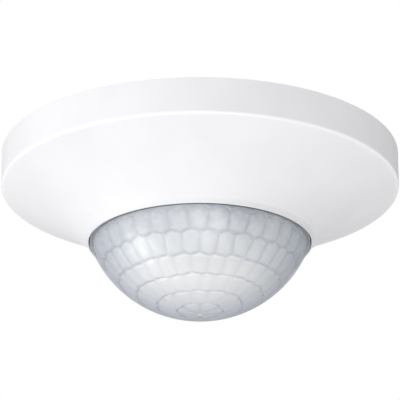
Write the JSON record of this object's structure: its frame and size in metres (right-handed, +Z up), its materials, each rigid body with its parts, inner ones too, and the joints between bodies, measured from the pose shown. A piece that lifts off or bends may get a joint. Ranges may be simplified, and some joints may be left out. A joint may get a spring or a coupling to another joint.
{
  "type": "motion sensor",
  "caption": "Round ceiling motion sensor: trumpet-shaped cover, faceted dome lens, plug-in sensor head and a load module that sits in a flush box.",
  "frame": {"origin": "middle of the mounting plate's ceiling face, between the two flush-box screw slots", "axes": "+Z up into the ceiling and the flush box, -Z down into the room; +X through the two flush-box screw slots; the terminals in the box and the two setting dials under the cover are on the -Y side"},
  "size_m": [0.124, 0.124, 0.074],
  "materials": {
    "cover_plastic": "smooth satin white",
    "lens_plastic": "translucent milky moulding, glossy outside",
    "white_plastic": "satin white",
    "grey_plastic": "satin light grey",
    "black_plastic": "matt black",
    "relay_plastic": "semi-gloss dark blue",
    "board": "green solder mask",
    "steel": "zinc-plated steel",
    "spring_steel": "polished spring steel",
    "yoke_steel": "plain soft iron",
    "brass": "tinned brass",
    "contact_metal": "contact alloy",
    "winding": "enamelled copper wire on a bobbin",
    "film_yellow": "semi-gloss moulded box",
    "can_sleeve": "shrunk plastic sleeve",
    "varistor_blue": "dipped epoxy",
    "resistor_body": "lacquered ceramic",
    "sensor_can": "nickel-plated can",
    "ir_window": "coated silicon filter",
    "clear_epoxy": "water-clear epoxy",
    "red_epoxy": "tinted epoxy",
    "chip_ceramic": "ceramic bodies with tinned ends",
    "trimmer_blue": "moulded plastic",
    "dial_plastic": "moulded plastic",
    "seal_rubber": "closed-cell foam rubber"
  },
  "bodies": {
    "load_module": {"mounting_plate": "white_plastic", "rear_housing": "grey_plastic", "module_screws": "steel", "power_board": "board", "relay_case": "relay_plastic", "relay_base": "black_plastic", "relay_coil": "winding", "relay_yoke": "yoke_steel", "relay_contacts": "contact_metal", "film_capacitor": "film_yellow", "smoothing_capacitor": "can_sleeve", "varistor": "varistor_blue", "choke": "winding", "fuse_resistor": "resistor_body", "bridge_rectifier": "black_plastic", "socket_connector": "black_plastic", "terminal_block": "grey_plastic", "contact_bars": "brass"},
    "relay_armature": {"relay_armature": "yoke_steel"},
    "terminal_screw_1": {"terminal_screw_1": "steel"},
    "terminal_screw_2": {"terminal_screw_2": "steel"},
    "terminal_screw_3": {"terminal_screw_3": "steel"},
    "terminal_clamp_1": {"terminal_clamp_1": "steel"},
    "terminal_clamp_2": {"terminal_clamp_2": "steel"},
    "terminal_clamp_3": {"terminal_clamp_3": "steel"},
    "sensor_head": {"head_housing": "white_plastic", "front_plate": "white_plastic", "head_screws": "steel", "sensor_board": "board", "pin_header": "black_plastic", "pyro_sensor": "sensor_can", "pyro_window": "ir_window", "light_sensor": "clear_epoxy", "status_led": "red_epoxy", "microcontroller": "black_plastic", "amplifier_chip": "black_plastic", "chip_parts": "chip_ceramic", "time_trimmer": "trimmer_blue", "twilight_trimmer": "trimmer_blue", "lens": "lens_plastic", "lens_seal": "seal_rubber", "lens_retainer": "grey_plastic", "inner_baffle": "white_plastic", "retaining_springs": "spring_steel"},
    "time_dial": {"time_dial": "dial_plastic"},
    "twilight_dial": {"twilight_dial": "dial_plastic"},
    "cover": {"cover": "cover_plastic"}
  },
  "joints": [
    {"name": "relay_pull", "type": "hinge", "parent": "load_module", "child": "relay_armature", "pos_m": [0.0095, 0.011, 0.0165], "axis": [1, 0, 0], "range_deg": [0, 3], "stiffness_Nm_per_rad": 0.02, "springref_deg": -2.86},
    {"name": "terminal_turn_1", "type": "hinge", "parent": "load_module", "child": "terminal_screw_1", "pos_m": [0.0076, -0.0142, 0.017], "axis": [0, 0, 1], "range_deg": [-1728, 0]},
    {"name": "clamp_lift_1", "type": "slide", "parent": "load_module", "child": "terminal_clamp_1", "axis": [0, 0, 1], "range_m": [0, 0.0024]},
    {"name": "terminal_turn_2", "type": "hinge", "parent": "load_module", "child": "terminal_screw_2", "pos_m": [0, -0.0142, 0.017], "axis": [0, 0, 1], "range_deg": [-1728, 0]},
    {"name": "clamp_lift_2", "type": "slide", "parent": "load_module", "child": "terminal_clamp_2", "axis": [0, 0, 1], "range_m": [0, 0.0024]},
    {"name": "terminal_turn_3", "type": "hinge", "parent": "load_module", "child": "terminal_screw_3", "pos_m": [-0.0076, -0.0142, 0.017], "axis": [0, 0, 1], "range_deg": [-1728, 0]},
    {"name": "clamp_lift_3", "type": "slide", "parent": "load_module", "child": "terminal_clamp_3", "axis": [0, 0, 1], "range_m": [0, 0.0024]},
    {"name": "head_pull_off", "type": "slide", "parent": "load_module", "child": "sensor_head", "axis": [0, 0, -1], "range_m": [0, 0.025]},
    {"name": "time_setting", "type": "hinge", "parent": "sensor_head", "child": "time_dial", "pos_m": [-0.01699, -0.03643, -0.0172], "axis": [0, 0, 1], "range_deg": [0, 270]},
    {"name": "twilight_setting", "type": "hinge", "parent": "sensor_head", "child": "twilight_dial", "pos_m": [0.01699, -0.03643, -0.0172], "axis": [0, 0, 1], "range_deg": [0, 270]},
    {"name": "cover_pull_off", "type": "slide", "parent": "sensor_head", "child": "cover", "axis": [0, 0, -1], "range_m": [0, 0.058]}
  ],
  "couplings": [
    {"joint": "terminal_turn_1", "follows": "clamp_lift_1", "rad_per_m": -12566},
    {"joint": "terminal_turn_2", "follows": "clamp_lift_2", "rad_per_m": -12566},
    {"joint": "terminal_turn_3", "follows": "clamp_lift_3", "rad_per_m": -12566}
  ]
}
